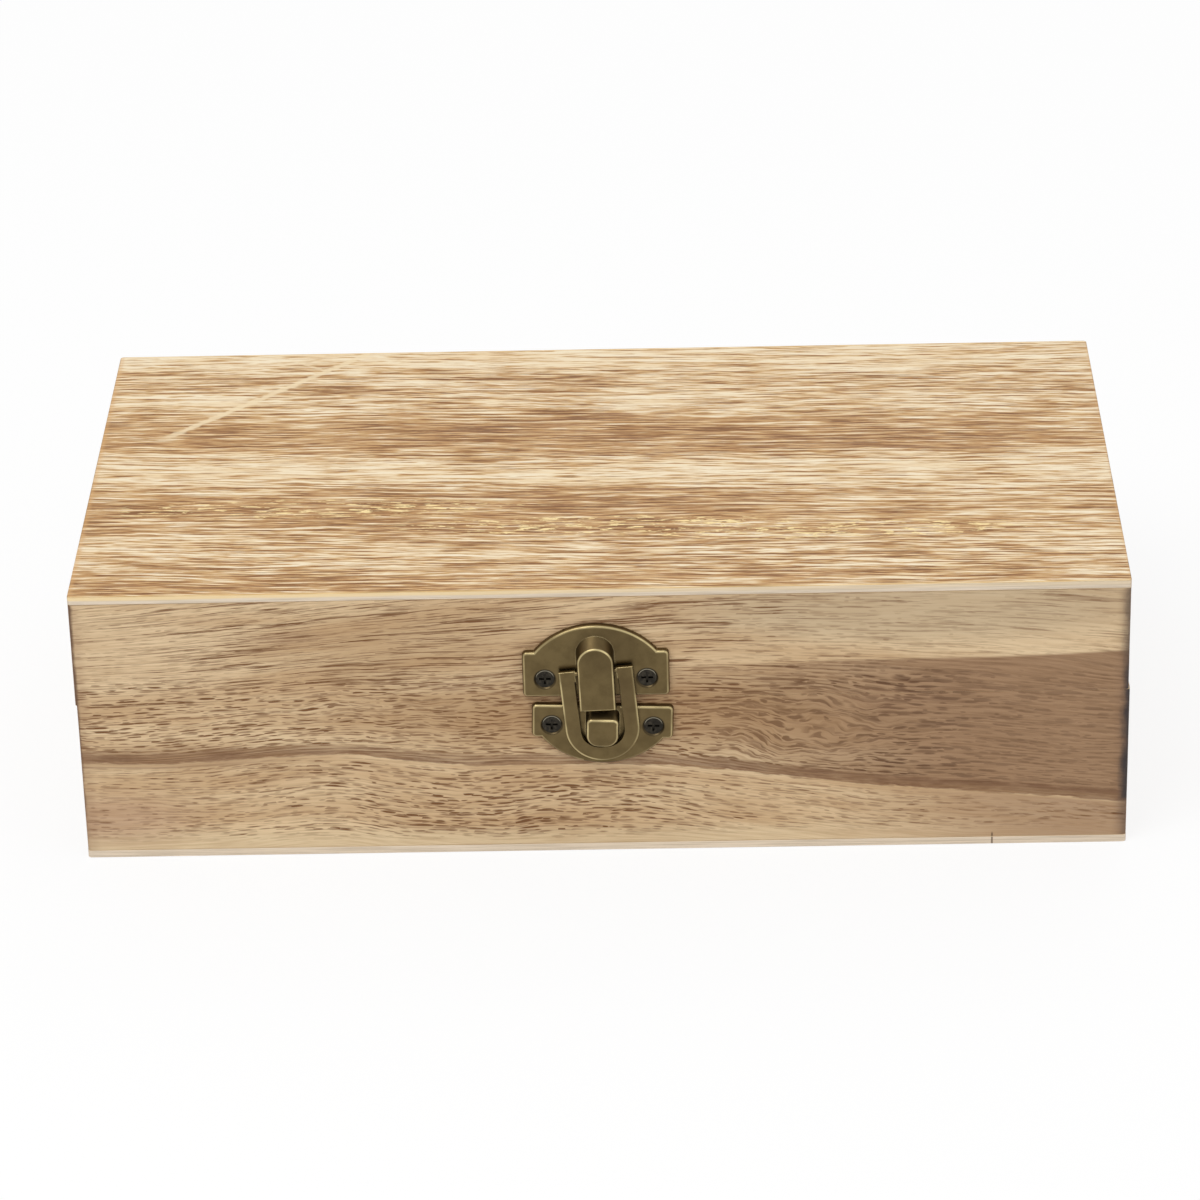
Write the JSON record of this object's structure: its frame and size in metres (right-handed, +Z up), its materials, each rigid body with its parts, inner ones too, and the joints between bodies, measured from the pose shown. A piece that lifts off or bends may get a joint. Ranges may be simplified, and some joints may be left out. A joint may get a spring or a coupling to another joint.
{
  "type": "brush box with hinged lid",
  "caption": "Long, low wooden brush box whose hinged lid shuts with a plate latch: a D-shaped ring on the lid snaps down over a knob on the base.",
  "frame": {"origin": "centre of the underside of the bottom panel, on the surface the box stands on", "axes": "+X along the box's length, -Y towards the latch side, +Z up"},
  "size_m": [0.2403, 0.1398, 0.0677],
  "materials": {
    "wood_front": "smooth, clear-waxed, scorched edges",
    "wood_back": "smooth, clear-waxed",
    "wood_end": "smooth, clear-waxed, scorched edges",
    "wood_panel": "scorched and brushed, open grain",
    "antique_brass": "antiqued, worn bright on the edges",
    "dark_screws": "blackened"
  },
  "bodies": {
    "base": {"base_front_board": "wood_front", "base_back_board": "wood_back", "base_left_end": "wood_end", "base_right_end": "wood_end", "bottom_panel": "wood_panel", "latch_base_plate": "antique_brass", "latch_base_screws": "dark_screws", "left_hinge_base_leaf": "antique_brass", "left_hinge_pin": "antique_brass", "right_hinge_base_leaf": "antique_brass", "right_hinge_pin": "antique_brass", "hinge_base_screws": "dark_screws"},
    "lid": {"lid_front_board": "wood_front", "lid_back_board": "wood_back", "lid_left_end": "wood_end", "lid_right_end": "wood_end", "top_panel": "wood_panel", "latch_lid_plate": "antique_brass", "latch_lid_screws": "dark_screws", "left_hinge_lid_leaf": "antique_brass", "right_hinge_lid_leaf": "antique_brass", "hinge_lid_screws": "dark_screws"},
    "ring": {"latch_ring": "antique_brass"}
  },
  "joints": [
    {"name": "lid_hinge", "type": "hinge", "parent": "base", "child": "lid", "pos_m": [0, 0.0678, 0.03995], "axis": [-1, 0, 0], "range_deg": [0, 180]},
    {"name": "ring_swing", "type": "hinge", "parent": "lid", "child": "ring", "pos_m": [-0.0013, -0.0685, 0.04795], "axis": [-0.9962, 0, -0.0872], "range_deg": [0, 180]}
  ]
}
